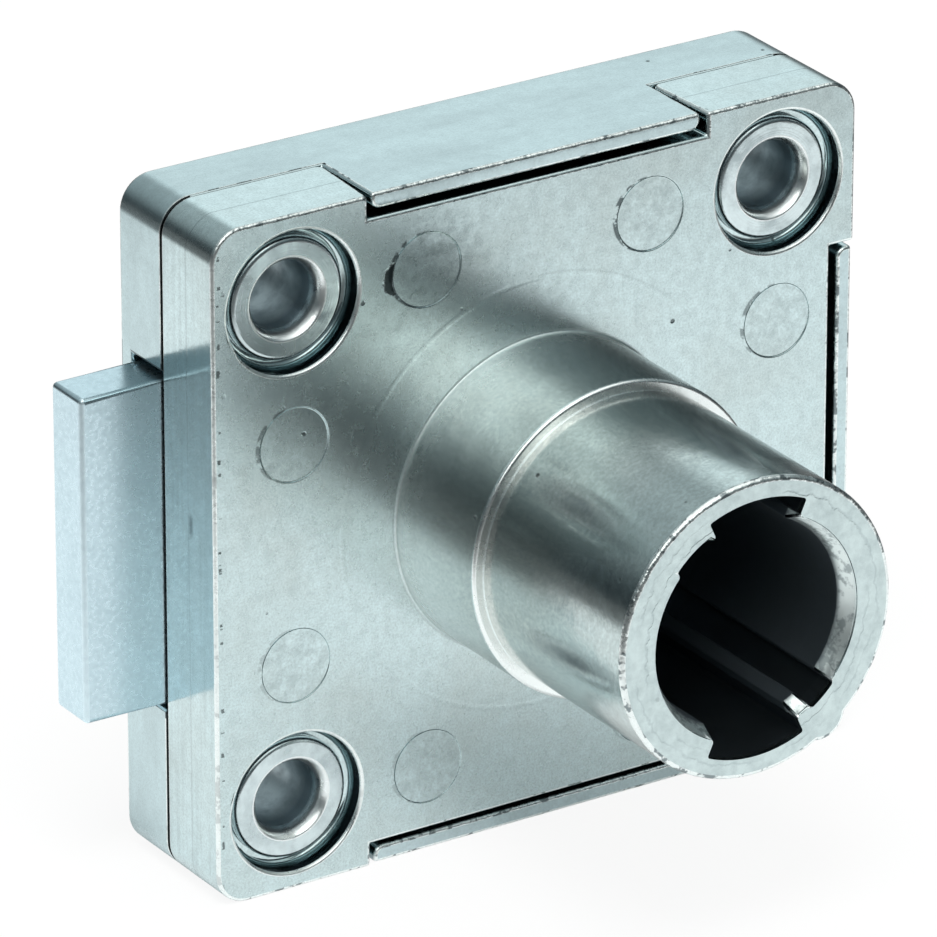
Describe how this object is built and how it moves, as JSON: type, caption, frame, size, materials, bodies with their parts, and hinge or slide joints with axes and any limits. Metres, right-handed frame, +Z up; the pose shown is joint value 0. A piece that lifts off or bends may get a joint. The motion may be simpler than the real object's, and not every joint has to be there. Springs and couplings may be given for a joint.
{
  "type": "cabinet deadlock",
  "caption": "Screw-on die-cast cabinet deadlock with a side-throwing flat bolt, and a front tube that takes a push-in cylinder.",
  "frame": {"origin": "on the tube's axis in the mounting face, at the centre of the four screw holes", "axes": "+Z up, +Y back into the housing and away from the door's front, tube along -Y, bolt thrown along -X"},
  "size_m": [0.0485, 0.0319, 0.0414],
  "materials": {
    "nickel_casting": "bright nickel plate over an as-cast zinc skin, satin, with fine pits",
    "nickel_rear": "bright nickel plate over an as-cast zinc skin, satin",
    "bolt_zinc": "matt blue-grey plated zinc",
    "driver_zinc": "raw cast zinc",
    "spring_steel": "rolled spring strip",
    "rivet_nickel": "nickel-plated steel, burnished where it was rolled"
  },
  "bodies": {
    "housing": {"front_housing": "nickel_casting", "rear_casing": "nickel_rear", "rivet_top_left": "rivet_nickel", "rivet_top_right": "rivet_nickel", "rivet_bottom_left": "rivet_nickel", "rivet_bottom_right": "rivet_nickel", "detent_spring": "spring_steel"},
    "driver": {"driver": "driver_zinc"},
    "bolt": {"bolt": "bolt_zinc"}
  },
  "joints": [
    {"name": "driver_turn", "type": "hinge", "parent": "housing", "child": "driver", "pos_m": [0, 0, 0], "axis": [0, 1, 0], "range_deg": [0, 180]},
    {"name": "bolt_slide", "type": "slide", "parent": "housing", "child": "bolt", "axis": [1, 0, 0], "range_m": [0, 0.0053], "deforming": ["detent_spring"]}
  ],
  "couplings": [
    {"joint": "bolt_slide", "follows": "driver_turn", "m_per_rad": 0.001687}
  ]
}
